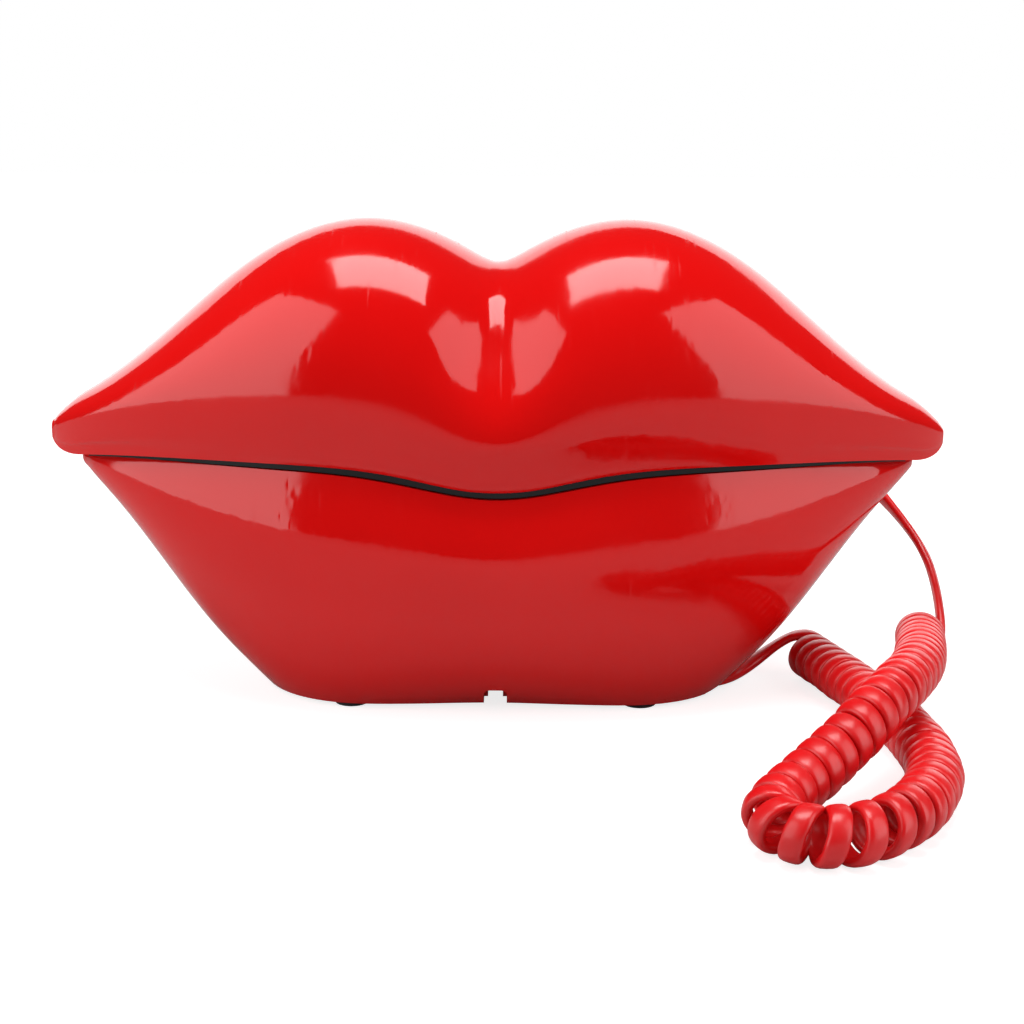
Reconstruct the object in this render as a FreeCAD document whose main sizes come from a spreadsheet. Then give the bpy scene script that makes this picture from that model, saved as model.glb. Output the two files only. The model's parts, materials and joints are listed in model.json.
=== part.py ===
import FreeCAD, Part
import math
import os
import Sketcher

# A corded telephone in the shape of closed lips. The upper lip is the handset, the lower
# lip is the base. Millimetres, +X to the right, +Y to the back, +Z up, and the origin on
# the table under the middle of the phone.

V = FreeCAD.Vector
os.makedirs("parts", exist_ok=True)
doc = FreeCAD.newDocument("lips_phone")
sheet = doc.addObject("Spreadsheet::Sheet", "sizes")

SIZES = [
    # overall
    ("half_length", 105.0), ("tip_z", 59.8), ("half_depth", 41.0), ("wall", 2.2),
    ("tuck", 0.89), ("base_half_length", 97.9), ("floor_gap", 1.0), ("part_gap", 0.3),
    # the curved line where the two lips meet
    ("seam_z", 57.3), ("seam_dip", 4.8), ("seam_dip_width", 22.0), ("seam_droop", 2.4),
    ("black_edge", 1.5), ("black_edge_fade", 1.1),
    # height at which each lip bulges most
    ("upper_bulge_z", 64.0), ("upper_bulge_rise", 8.0), ("upper_bulge_drop", 12.2),
    ("lower_bulge_share", 0.745),
    # the valley down the front of the upper lip, between its two peaks
    ("valley_share", 0.15), ("valley_wide", 10.0), ("valley_start", 0.62),
    # keypad
    ("key_long", 11.0), ("key_short", 9.5), ("key_round", 2.0), ("key_pitch_x", 13.5),
    ("key_pitch_y", 13.0), ("key_gap", 0.3), ("key_proud", 1.2), ("key_flange", 1.0),
    ("key_flange_over", 0.8), ("key_travel", 1.1), ("bed_top", 59.5), ("bed_length", 72.0),
    ("bed_width", 50.0), ("mat_length", 66.0), ("mat_width", 38.8), ("mat_z", 61.8),
    ("mat_thick", 1.2), ("board_thick", 1.6), ("handset_board_length", 68.0),
    ("handset_board_width", 50.0),
    # handset inside
    ("receiver_r", 14.0), ("receiver_tall", 7.0), ("magnet_tall", 2.5), ("receiver_x", -68.0),
    ("ring_r", 14.0),
    ("ring_hole_r", 11.0), ("ring_tall", 1.5), ("mic_x", 62.0), ("mic_r", 4.8),
    ("mic_tall", 5.0), ("boot_r", 7.0), ("boot_tall", 7.5), ("hand_weight_long", 24.0),
    ("hand_weight_short", 13.0), ("hand_weight_tall", 6.0), ("hand_weight_x", 44.5),
    ("spigot", 2.0), ("screw_r", 1.3), ("screw_head_r", 2.5), ("screw_head_tall", 1.5),
    # four-wire jack and plug
    ("jack_wide", 11.0), ("jack_tall", 9.0), ("jack_deep", 13.0), ("plug_wide", 7.6),
    ("plug_tall", 6.0), ("plug_deep", 10.0), ("plug_out", 3.0), ("plug_gap", 0.2),
    ("hand_jack_x", 80.0), ("hand_jack_y", 15.0), ("hand_jack_z", 63.9),
    ("base_jack_x", 30.0), ("base_jack_y", -8.0), ("base_jack_z", 5.7),
    # wall line jack
    ("line_wide", 13.0), ("line_tall", 12.0), ("line_deep", 14.0), ("line_hole_wide", 9.8),
    ("line_hole_tall", 7.4), ("line_hole_deep", 11.0), ("line_x", -26.0), ("line_y", 28.2),
    ("line_z", 16.0),
    # base inside
    ("deck_z", 45.0), ("deck_thick", 2.3), ("bottom_thick", 2.4), ("post_r", 3.5),
    ("post_z", 12.0), ("pillar_bore", 9.0),
    ("base_board_z", 22.0), ("base_board_length", 85.0),
    ("base_board_width", 27.0), ("base_board_x", -1.5), ("base_boss_r", 2.5),
    ("hook_x", -38.0), ("hook_top", 55.4), ("hook_head_r", 5.0), ("hook_head_tall", 9.0),
    ("hook_stem_r", 2.5), ("hook_stem_z", 33.2), ("hook_flange_r", 6.0),
    ("hook_flange_z", 40.3), ("hook_flange_tall", 1.5), ("hook_gap", 0.3),
    ("spring_r", 3.8), ("spring_wire_r", 0.4), ("spring_turns", 5.0),
    ("hook_switch_wide", 12.0), ("hook_switch_long", 20.0), ("hook_switch_tall", 9.0),
    ("base_weight_long", 20.6), ("base_weight_short", 18.4), ("base_weight_tall", 7.0),
    ("base_weight_x", 28.6), ("base_weight_y", 10.2), ("sounder_r", 12.5),
    ("sounder_tall", 0.6), ("sounder_x", -21.0), ("sounder_y", 0.0), ("holder_r", 14.0),
    ("holder_tall", 5.0), ("holder_seat", 3.6),
    ("slider_z", 16.0), ("slider_travel", 3.0), ("slider_wide", 4.0), ("slider_tall", 2.4),
    ("slider_flange", 9.0), ("slider_flange_tall", 6.0),
    # feet and underside
    ("foot_r", 4.1), ("foot_tall", 1.8), ("foot_x", 33.0), ("foot_y", 20.5),
    ("channel_wide", 5.2), ("channel_tall", 4.6), ("tab_out", 0.9),
    # curly cord
    ("cord_wide", 4.3), ("coil_d", 11.4),
]
for row, (alias, number) in enumerate(SIZES, start=1):
    sheet.set("A%d" % row, alias)
    sheet.set("B%d" % row, str(number))
    sheet.setAlias("B%d" % row, alias)
doc.recompute()


def size(alias):
    return float(sheet.get(alias))


def bind(item, prop, formula):
    """Ties a property to a formula whose names are aliases of the sheet."""
    for alias in sorted((a for a, n in SIZES), key=len, reverse=True):
        formula = formula.replace("<%s>" % alias, "sizes.%s" % alias)
    item.setExpression(prop, formula)


# ---------------------------------------------------------------- outlines of the lips

def smooth_outline(points):
    """A height as a smooth function of the distance from the middle, through points."""
    mirrored = [(-x, z) for x, z in reversed(points) if x > 0] + list(points)
    curve = Part.BSplineCurve()
    curve.interpolate(Points=[V(x, 0, z) for x, z in mirrored],
                      Parameters=[float(x) for x, z in mirrored])
    return lambda x: curve.value(x).z


# Crest of the upper lip: the dip of the cupid's bow, a peak each side, and the long slopes.
crest_line = smooth_outline([(0, 99.5), (6, 101.9), (17, 107.0), (30, 109.2), (45, 106.0),
                             (60, 97.3), (75, 84.7), (88, 74.2), (97, 68.4), (105, 64.5)])
# Keel of the lower lip. Below the flat underside it only guides the curve of the flanks.
keel_line = smooth_outline([(0, -7), (25, -10.5), (38, -11), (47, -6.5), (59, 4.8),
                            (65, 11.2), (76, 25.7), (87, 40.6), (93, 47.3), (98, 52.6)])


def nose(x):
    """Rounds off the last few millimetres of the upper lip."""
    start = size("half_length") - 9.0
    over = max(0.0, abs(x) - start) / 9.0
    return math.sqrt(max(0.0, 1.0 - over ** 2))


def seam(x):
    dip = size("seam_dip") * math.exp(-(x / size("seam_dip_width")) ** 2)
    droop = size("seam_droop") * (x / size("base_half_length")) ** 6
    return size("seam_z") - dip - droop


def black_edge(x):
    return size("black_edge") - size("black_edge_fade") * min(1.0, (x / 90.0) ** 2)


def upper_crest(x):
    return size("tip_z") + (crest_line(x) - size("tip_z")) * nose(x)


def upper_edge(x):
    return size("tip_z") + (seam(x) - size("tip_z")) * nose(x)


def upper_bulge(x):
    rise = size("upper_bulge_rise") * (1.0 - math.exp(-(x / 20.0) ** 2))
    return size("upper_bulge_z") + rise - size("upper_bulge_drop") * (x / 105.0) ** 4


def upper_depth(x):
    return size("half_depth") * (1.0 - (x / (size("half_length") + 0.15)) ** 2) ** 0.8


def lower_edge(x):
    return seam(x) - black_edge(x) - size("part_gap")


def lower_bulge(x):
    return keel_line(x) + size("lower_bulge_share") * (lower_edge(x) - keel_line(x))


def lower_depth(x):
    return size("half_depth") * (1.0 - (x / (size("base_half_length") + 0.2)) ** 2) ** 0.75


def valley(x, rise):
    """Share of the upper lip's depth that is left at x, rise being 0 at the bulge, 1 on top."""
    full = min(1.0, rise / size("valley_start"))
    fade = full * full * (3.0 - 2.0 * full)
    return 1.0 - size("valley_share") * fade * math.exp(-(x / size("valley_wide")) ** 2)


def no_valley(x, rise):
    return 1.0


def section(x, edge, bulge, crest, depth, hollow, inset, extra):
    """Points of half a lip's section at x, from its seam edge over the bulge to the crest.

    inset moves the skin inwards by a wall, extra carries the seam edge on past the seam.
    """
    tuck = size("tuck")
    way = 1.0 if crest(x) > edge(x) else -1.0
    wide = depth(x) - inset
    top = crest(x) - way * inset
    mid = bulge(x)
    turn = math.acos(tuck)
    low = edge(x)
    reach = (mid - low) / math.sin(turn)
    points = []
    if extra:
        points.append(V(x, -wide * tuck, low - way * extra))
    for step in range(3):
        angle = turn * (1.0 - step / 3.0)
        points.append(V(x, -wide * math.cos(angle), mid - reach * math.sin(angle)))
    for step in range(10):
        angle = 0.5 * math.pi * step / 9.0
        across = wide * math.cos(angle) * hollow(x, math.sin(angle))
        points.append(V(x, -across, mid + (top - mid) * math.sin(angle)))
    return points


def lip_solid(edge, bulge, crest, depth, hollow, count, length, inset, extra):
    """A closed solid: one smooth skin over the lip, closed across the seam and at the tips."""
    grid = []
    for step in range(-count, count + 1):
        x = length * math.sin(0.5 * math.pi * step / count)
        half = section(x, edge, bulge, crest, depth, hollow, inset, extra)
        rear = [V(p.x, -p.y, p.z) for p in reversed(half[:-1])]
        grid.append(half + rear)
    surface = Part.BSplineSurface()
    surface.interpolate(grid)
    skin = surface.toShape()
    front = surface.vIso(surface.bounds()[2]).toShape()
    back = surface.vIso(surface.bounds()[3]).toShape()
    faces = [skin, Part.makeRuledSurface(front, back)]
    for end in (0, -1):
        at_end = surface.uIso(surface.bounds()[0 if end == 0 else 1]).toShape()
        across = Part.makeLine(grid[end][-1], grid[end][0])
        faces.append(Part.Face(Part.Wire([at_end, across])))
    shell = Part.makeShell(faces)
    shell.sewShape()
    solid = Part.Solid(shell)
    if solid.Volume < 0:
        solid.reverse()
    return solid


def upper_lip(inset=0.0, extra=0.0, length=None):
    return lip_solid(upper_edge, upper_bulge, upper_crest, upper_depth, valley, 30,
                     length or size("half_length") - 0.4, inset, extra)


def lower_lip(inset=0.0, extra=0.0, length=None):
    return lip_solid(lower_edge, lower_bulge, keel_line, lower_depth, no_valley, 20,
                     length or size("base_half_length") - 0.4, inset, extra)


# ------------------------------------------------------------------- small shape helpers

def box(x0, x1, y0, y1, z0, z1):
    return Part.makeBox(x1 - x0, y1 - y0, z1 - z0, V(x0, y0, z0))


def rod(x, y, z0, z1, radius):
    return Part.makeCylinder(radius, z1 - z0, V(x, y, z0))


def free_form(name, shape):
    """Stores a shape made above, with its split faces joined where that stays valid."""
    joined = shape.copy().removeSplitter()
    item = doc.addObject("Part::Feature", name)
    item.Label = name
    item.Shape = joined if joined.isValid() else shape
    item.Placement = FreeCAD.Placement()
    return item


def line_through(points):
    curve = Part.BSplineCurve()
    curve.interpolate(points)
    return curve.toShape()


def slab(low, high, reach):
    """Space between two heights given along X, as wide in Y as any lip."""
    stations = [reach * step / 20.0 for step in range(-20, 21)]
    under = line_through([V(x, -60, low(x)) for x in stations])
    over = line_through([V(x, -60, high(x)) for x in stations])
    left = Part.makeLine(V(-reach, -60, low(-reach)), V(-reach, -60, high(-reach)))
    right = Part.makeLine(V(reach, -60, low(reach)), V(reach, -60, high(reach)))
    return Part.Face(Part.Wire([under, right, over, left])).extrude(V(0, 120, 0))


def plan_prism(inset, reach, z0, z1):
    """Upright prism on the plan outline of the upper lip's seam edge."""
    stations = [reach * math.sin(math.pi * step / 32.0) for step in range(-16, 17)]
    width = [size("tuck") * upper_depth(x) - inset for x in stations]
    front = line_through([V(x, -w, z0) for x, w in zip(stations, width)])
    back = line_through([V(x, w, z0) for x, w in zip(stations, width)])
    left = Part.makeLine(V(-reach, -width[0], z0), V(-reach, width[0], z0))
    right = Part.makeLine(V(reach, -width[0], z0), V(reach, width[0], z0))
    return Part.Face(Part.Wire([front, right, back, left])).extrude(V(0, 0, z1 - z0))


# ------------------------------------------------- parametric bodies: sketches and features

def plane_of(body, role):
    for feature in body.Origin.OriginFeatures:
        if feature.Role == role:
            return feature


def new_body(name):
    body = doc.addObject("PartDesign::Body", name)
    body.Label = name
    return body


def sketch_on(body, name, height="0"):
    sketch = body.newObject("Sketcher::SketchObject", name)
    sketch.AttachmentSupport = [(plane_of(body, "XY_Plane"), "")]
    sketch.MapMode = "FlatFace"
    bind(sketch, "AttachmentOffset.Base.z", height)
    return sketch


def dimension(sketch, constraint, formula):
    index = sketch.addConstraint(constraint)
    bind(sketch, "Constraints[%d]" % index, formula)


def draw_rectangle(sketch, width, depth):
    """A rectangle centred on the sketch's origin."""
    corners = [V(-5, -4, 0), V(5, -4, 0), V(5, 4, 0), V(-5, 4, 0)]
    for start in range(4):
        sketch.addGeometry(Part.LineSegment(corners[start], corners[(start + 1) % 4]), False)
    for start in range(4):
        sketch.addConstraint(Sketcher.Constraint("Coincident", start, 2, (start + 1) % 4, 1))
    for line in (0, 2):
        sketch.addConstraint(Sketcher.Constraint("Horizontal", line))
    for line in (1, 3):
        sketch.addConstraint(Sketcher.Constraint("Vertical", line))
    sketch.addConstraint(Sketcher.Constraint("Symmetric", 0, 1, 2, 1, -1, 1))
    dimension(sketch, Sketcher.Constraint("DistanceX", 0, 1, 0, 2, 10.0), width)
    dimension(sketch, Sketcher.Constraint("DistanceY", 1, 1, 1, 2, 8.0), depth)


def draw_circle(sketch, radius):
    sketch.addGeometry(Part.Circle(V(0, 0, 0), V(0, 0, 1), 5.0), False)
    sketch.addConstraint(Sketcher.Constraint("Coincident", 0, 3, -1, 1))
    dimension(sketch, Sketcher.Constraint("Radius", 0, 5.0), radius)


def pad(body, name, draw, height, length):
    """Pads what draw puts in a sketch at that height, upwards."""
    sketch = sketch_on(body, name + "_sketch", height)
    draw(sketch)
    feature = body.newObject("PartDesign::Pad", name)
    feature.Profile = sketch
    bind(feature, "Length", length)
    sketch.Visibility = False
    return feature


def pocket(body, name, draw, height, length):
    """Cuts what draw puts in a sketch at that height, downwards, and sees that it cuts."""
    doc.recompute()
    before = body.Shape.Volume
    sketch = sketch_on(body, name + "_sketch", height)
    draw(sketch)
    feature = body.newObject("PartDesign::Pocket", name)
    feature.Profile = sketch
    bind(feature, "Length", length)
    sketch.Visibility = False
    doc.recompute()
    if body.Shape.Volume > before - 0.01:
        raise RuntimeError("%s cuts nothing" % name)
    return feature


def round_upright_edges(body, name, base, formula):
    """Rounds the upright edges of a pad."""
    doc.recompute()
    upright = []
    for index, edge in enumerate(base.Shape.Edges, start=1):
        if edge.Curve.TypeId == "Part::GeomLine" and abs(edge.tangentAt(0).z) > 0.99:
            upright.append("Edge%d" % index)
    fillet = body.newObject("PartDesign::Fillet", name)
    fillet.Base = (base, upright)
    bind(fillet, "Radius", formula)
    return fillet


def plate(name, width, depth, thick, rounding, place):
    """A flat plate with rounded corners, its underside at the place given."""
    body = new_body(name)
    first = pad(body, name + "_pad", lambda s: draw_rectangle(s, width, depth), "0", thick)
    round_upright_edges(body, name + "_corners", first, rounding)
    body.Placement = FreeCAD.Placement(place, FreeCAD.Rotation())
    return body


def drum(name, steps, place, hole=None):
    """Round pads on one axis: each step is (radius, height, length)."""
    body = new_body(name)
    for number, (radius, height, length) in enumerate(steps):
        pad(body, "%s_step%d" % (name, number), lambda s, r=radius: draw_circle(s, r),
            height, length)
    if hole:
        pocket(body, name + "_hole", lambda s: draw_circle(s, hole[0]), hole[1], hole[2])
    body.Placement = FreeCAD.Placement(place, FreeCAD.Rotation())
    return body


FACE_BACK = FreeCAD.Rotation(V(-1, 0, 0), V(0, 0, 1), V(0, 1, 0), "ZYX")
FACE_RIGHT = FreeCAD.Rotation(V(0, 1, 0), V(0, 0, 1), V(1, 0, 0), "ZYX")


def jack(name, outer, socket, place, turn):
    """A modular jack. Its mouth is at the place given and opens along the body's own +Z."""
    wide, tall, deep = outer
    body = new_body(name)
    first = pad(body, name + "_case", lambda s: draw_rectangle(s, wide, tall),
                "-" + deep, deep)
    round_upright_edges(body, name + "_corners", first, "0.6")
    pocket(body, name + "_socket", lambda s: draw_rectangle(s, socket[0], socket[1]),
           "0", socket[2])
    body.Placement = FreeCAD.Placement(place, turn)
    return body


def plug(name, place, turn):
    """A clear four-wire plug with its latch, seated in a jack whose mouth is at the place."""
    body = new_body(name)
    first = pad(body, name + "_case", lambda s: draw_rectangle(s, "<plug_wide>", "<plug_tall>"),
                "-<plug_deep>", "<plug_deep> + <plug_out>")
    round_upright_edges(body, name + "_corners", first, "0.5")
    body.Placement = FreeCAD.Placement(place, turn)
    return body


# ------------------------------------------------------------------------------- handset

wall = size("wall")
bed_top = size("bed_top")
hand_screws = [(x, y) for x in (-52.0, 52.0) for y in (-15.0, 15.0)]
hand_posts = [(x, y) for x in (-31.0, 31.0) for y in (-22.0, 22.0)]
key_rows = [size("key_pitch_x") * n for n in (-2, -1, 0, 1, 2)]
key_columns = [-size("key_pitch_y"), 0.0, size("key_pitch_y")]
KEY_NAMES = [["key_1", "key_2", "key_3"], ["key_4", "key_5", "key_6"],
             ["key_7", "key_8", "key_9"], ["key_star", "key_0", "key_hash"],
             ["key_mute", "key_redial", "key_flash"]]


def cover_floor(x):
    return seam(x) - black_edge(x)


def spigot_top(x):
    return seam(x) + size("spigot")


def build_handset_shell():
    outer = upper_lip()
    hollow = upper_lip(inset=wall, extra=1.5, length=size("half_length") - 6.0)
    shell = outer.cut(hollow)
    for x, y in hand_screws:
        boss = rod(x, y, spigot_top(x), 100, 3.0).common(upper_lip(inset=0.8))
        shell = shell.fuse(boss)
        shell = shell.cut(rod(x, y, spigot_top(x) - 1, 72, size("screw_r")))
    gap = size("plug_gap")
    half = 0.5 * size("plug_wide") + gap + 0.4
    tall = 0.5 * size("plug_tall") + gap + 0.4
    jack_x = size("hand_jack_x")
    jack_z = size("hand_jack_z")
    window = box(jack_x - half, jack_x + half, 4, 40, jack_z - tall, jack_z + tall)
    seat = box(jack_x - 6, jack_x + 6, 0, size("hand_jack_y") + 0.1, jack_z - 4.7, jack_z + 4.7)
    return shell.cut(window).cut(seat)


def build_handset_cover():
    reach = size("base_half_length") - 4.0
    flange = plan_prism(0.6, reach, 45, 64).common(slab(cover_floor, seam, reach))
    rim = plan_prism(wall + 1.6, reach - 5, 45, 70).common(
        slab(lambda x: seam(x) - 0.3, spigot_top, reach))
    half_l = 0.5 * size("bed_length")
    half_w = 0.5 * size("bed_width")
    bed = box(-half_l, half_l, -half_w, half_w, 45, bed_top)
    bed = bed.common(slab(lambda x: seam(x) - 0.3, lambda x: 70.0, reach))
    cover = flange.fuse([rim, bed])
    for x, y in hand_posts:
        cover = cover.fuse(rod(x, y, bed_top - 1, size("mat_z") + size("mat_thick"), 2.2))
    gap = size("key_gap")
    half_x = 0.5 * size("key_short") + gap
    half_y = 0.5 * size("key_long") + gap
    cuts = []
    for x in key_rows:
        for y in key_columns:
            hole = box(x - half_x, x + half_x, y - half_y, y + half_y, 40, 64)
            upright = [e for e in hole.Edges if abs(e.tangentAt(0).z) > 0.99]
            cuts.append(hole.makeFillet(size("key_round") + gap, upright))
    for x, y in hand_screws:
        cuts.append(rod(x, y, 40, 75, size("screw_r")))
        head_seat = cover_floor(x) + size("screw_head_tall") + 0.2
        cuts.append(rod(x, y, 40, head_seat, size("screw_head_r") + 0.1))
    cuts.append(rod(size("receiver_x"), 0, 40, 70, 1.0))
    for step in range(6):
        angle = math.radians(60 * step)
        cuts.append(rod(size("receiver_x") + 5 * math.cos(angle), 5 * math.sin(angle), 40, 70, 1.0))
    for y in (-3.0, 0.0, 3.0):
        cuts.append(rod(size("mic_x"), y, 40, 70, 0.8))
    return cover.cut(cuts)


free_form("handset_shell", build_handset_shell())
free_form("handset_cover", build_handset_cover())


def build_key(name, x, y):
    """A key cap that hangs through the cover, with a flange that holds it inside."""
    body = new_body(name)
    face = cover_floor(x) - size("key_proud")
    stem = bed_top + 0.1 - face
    cap = pad(body, name + "_cap", lambda s: draw_rectangle(s, "<key_short>", "<key_long>"),
              "0", "%.3f + <key_flange>" % stem)
    round_upright_edges(body, name + "_corners", cap, "<key_round>")
    pad(body, name + "_flange",
        lambda s: draw_rectangle(s, "<key_short> + 2 * <key_flange_over>",
                                 "<key_long> + <key_flange_over>"),
        "%.3f" % stem, "<key_flange>")
    body.Placement = FreeCAD.Placement(V(x, y, face), FreeCAD.Rotation())


for row, names in zip(key_rows, KEY_NAMES):
    for column, key_name in zip(key_columns, names):
        build_key(key_name, row, -column)

plate("keypad_mat", "<mat_length>", "<mat_width>", "<mat_thick>", "2.0", V(0, 0, size("mat_z")))
board_z = size("mat_z") + size("mat_thick")
plate("handset_board", "<handset_board_length>", "<handset_board_width>", "<board_thick>",
      "2.0", V(0, 0, board_z))

seat_z = spigot_top(52.0)
drum("earpiece_ring", [("<ring_r>", "0", "<ring_tall>")], V(size("receiver_x"), 0, seat_z),
     hole=("<ring_hole_r>", "<ring_tall>", "<ring_tall> + 1"))
magnet_seat = "<receiver_tall> - <magnet_tall>"
drum("earpiece_receiver",
     [("<receiver_r>", "0", magnet_seat), ("<receiver_r> - 4", magnet_seat, "<magnet_tall>")],
     V(size("receiver_x"), 0, seat_z + size("ring_tall")))
drum("microphone_boot", [("<boot_r>", "0", "<boot_tall>")], V(size("mic_x"), 0, seat_z),
     hole=("<mic_r>", "<boot_tall>", "<mic_tall>"))
drum("microphone", [("<mic_r>", "0", "<mic_tall>")],
     V(size("mic_x"), 0, seat_z + size("boot_tall") - size("mic_tall")))

four_wire = ("<jack_wide>", "<jack_tall>", "<jack_deep>")
four_wire_socket = ("<plug_wide> + 2 * <plug_gap>", "<plug_tall> + 2 * <plug_gap>",
                    "<plug_deep> + 0.3")
hand_jack_at = V(size("hand_jack_x"), size("hand_jack_y"), size("hand_jack_z"))
jack("handset_jack", four_wire, four_wire_socket, hand_jack_at, FACE_BACK)
plug("plug_handset", hand_jack_at, FACE_BACK)


def group(name, members):
    compound = doc.addObject("Part::Compound", name)
    compound.Label = name
    compound.Links = members
    for member in members:
        member.Visibility = False
    return compound


def weight_block(name, x):
    block = doc.addObject("Part::Box", name)
    bind(block, "Length", "<hand_weight_short>")
    bind(block, "Width", "<hand_weight_long>")
    bind(block, "Height", "<hand_weight_tall>")
    corner = V(x - 0.5 * size("hand_weight_short"), -0.5 * size("hand_weight_long"), seat_z + 0.1)
    block.Placement = FreeCAD.Placement(corner, FreeCAD.Rotation())
    return block


group("handset_weights", [weight_block("hand_weight_left", -size("hand_weight_x")),
                          weight_block("hand_weight_right", size("hand_weight_x"))])


def screw(name, place, shank_r, head_r, head_tall, shank_long):
    """A screw standing on its head, with a round socket in the head."""
    head = doc.addObject("Part::Cylinder", name + "_head")
    bind(head, "Radius", head_r)
    bind(head, "Height", head_tall)
    shank = doc.addObject("Part::Cylinder", name + "_shank")
    bind(shank, "Radius", shank_r)
    bind(shank, "Height", shank_long)
    bind(shank, "Placement.Base.z", head_tall)
    drive = doc.addObject("Part::Prism", name + "_drive")
    drive.Polygon = 6
    bind(drive, "Circumradius", head_r + " * 0.5")
    bind(drive, "Height", head_tall + " * 0.6")
    whole = doc.addObject("Part::Fuse", name + "_whole")
    whole.Base = head
    whole.Tool = shank
    cut = doc.addObject("Part::Cut", name)
    cut.Base = whole
    cut.Tool = drive
    cut.Placement = FreeCAD.Placement(place, FreeCAD.Rotation())
    for part in (head, shank, drive, whole):
        part.Visibility = False
    return cut


group("handset_screws",
      [screw("hand_screw_%d" % n, V(x, y, cover_floor(x) + 0.2), "<screw_r>",
             "<screw_head_r>", "<screw_head_tall>", "11.0")
       for n, (x, y) in enumerate(hand_screws)])

# ---------------------------------------------------------------------------------- base

floor_gap = size("floor_gap")
bottom_top = floor_gap + size("bottom_thick")
base_posts = [(-48.0, 0.0), (48.0, 4.0), (-14.0, -17.2), (-14.0, 17.2), (14.0, 17.2)]
board_bosses = [(-38.0, -10.5), (-38.0, 10.5), (38.0, -6.0), (8.5, -10.5)]
slider_places = {"ringer_slider": (24.0, 27.8), "dial_mode_slider": (38.0, 23.8)}
base_inner = lower_lip(inset=wall + 0.15, extra=3.0, length=size("base_half_length") - 3.5)


def cord_channel():
    """Space for the curly cord from its jack to the right flank, open underneath."""
    y = size("base_jack_y")
    near = box(size("base_jack_x"), 38.0, y - 4.6, y + 4.6, 0, 9.4)
    far = box(-1, 14, -3.6, 3.6, 0, 7.4)
    far.Placement = FreeCAD.Placement(V(36.5, y - 0.6, 0), FreeCAD.Rotation(V(0, 0, 1), -20))
    mouth = box(-3, 18, -3.4, 3.4, 0, 5.2)
    mouth.Placement = FreeCAD.Placement(V(48.8, y - 4.2, 0), FreeCAD.Rotation(V(0, 0, 1), 42))
    return near.fuse([far, mouth])


def foot_recesses():
    """Round recesses for the feet, which run into the lower edge of the shell."""
    return [rod(x, y, 0, size("foot_tall"), size("foot_r"))
            for x in (-size("foot_x"), size("foot_x"))
            for y in (-size("foot_y"), size("foot_y"))]


def front_channel():
    """The small channel that runs under the base from front to back."""
    half = 0.5 * size("channel_wide")
    slot = box(-half, half, -50, 50, 0, floor_gap + size("channel_tall"))
    upper = [e for e in slot.Edges if abs(e.tangentAt(0).y) > 0.99
             and e.CenterOfMass.z > floor_gap + 1]
    return slot.makeFillet(1.4, upper)


def build_base_shell():
    outer = lower_lip().common(box(-120, 120, -60, 60, floor_gap, 90))
    hollow = lower_lip(inset=wall, extra=3.0, length=size("base_half_length") - 3.0)
    shell = outer.cut(hollow)
    cuts = [cord_channel(), front_channel()] + foot_recesses()
    half = 0.5 * size("line_hole_wide") + 0.4
    tall = 0.5 * size("line_hole_tall") + 0.4
    cuts.append(box(size("line_x") - half, size("line_x") + half, 24, 45,
                    size("line_z") - tall, size("line_z") + tall))
    seat = box(size("line_x") - 0.5 * size("line_wide") - 0.1,
               size("line_x") + 0.5 * size("line_wide") + 0.1, 10, size("line_y") + 0.1,
               size("line_z") - 0.5 * size("line_tall") - 0.1,
               size("line_z") + 0.5 * size("line_tall") + 0.1)
    cuts.append(seat)
    for x, y in slider_places.values():
        reach = 0.5 * size("slider_wide") + 0.4
        cuts.append(box(x - reach, x + reach + size("slider_travel"), 20, 45,
                        size("slider_z") - 1.6, size("slider_z") + 1.6))
    return shell.cut(cuts)


def build_base_deck():
    z0 = size("deck_z")
    deck = base_inner.common(box(-120, 120, -60, 60, z0, z0 + size("deck_thick")))
    return deck.cut(rod(size("hook_x"), 0, z0 - 1, z0 + 9, size("hook_head_r") + size("hook_gap")))


def build_base_bottom():
    y = size("base_jack_y")
    bottom = base_inner.common(box(-120, 120, -60, 60, floor_gap, bottom_top))
    rib = base_inner.common(box(-4.8, 4.8, -50, 50, floor_gap, 7.6))
    bay = base_inner.common(box(12.5, 52, y - 7.0, y + 7.0, floor_gap, 10.8))
    bottom = bottom.fuse([rib, bay])
    for x, y_post in base_posts:
        bottom = bottom.fuse(rod(x, y_post, floor_gap, size("post_z"), size("post_r")))
    for x, y_boss in board_bosses:
        bottom = bottom.fuse(rod(x, y_boss, floor_gap, size("base_board_z"), size("base_boss_r")))
    half_w = 0.5 * size("jack_wide")
    half_t = 0.5 * size("jack_tall")
    jack_x = size("base_jack_x")
    cuts = [cord_channel(), front_channel(),
            box(jack_x - size("jack_deep"), jack_x + 0.1, y - half_w, y + half_w,
                0, size("base_jack_z") + half_t)]
    for x, y_post in base_posts:
        cuts.append(rod(x, y_post, 0, 30, size("screw_r")))
        cuts.append(rod(x, y_post, 0, floor_gap + size("screw_head_tall") + 0.4,
                        size("screw_head_r") + 0.1))
    bottom = bottom.cut(cuts + foot_recesses())
    half = 0.5 * size("channel_wide")
    for side in (-1, 1):
        for y_tab in (-20.0, 20.0):
            near, far = sorted((side * (half - size("tab_out")), side * (half + 0.5)))
            tab = box(near, far, y_tab - 1.0, y_tab + 1.0, floor_gap + 0.6, floor_gap + 1.6)
            bottom = bottom.fuse(tab)
    return bottom


free_form("base_shell", build_base_shell())
free_form("base_deck", build_base_deck())
free_form("base_bottom", build_base_bottom())


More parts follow.
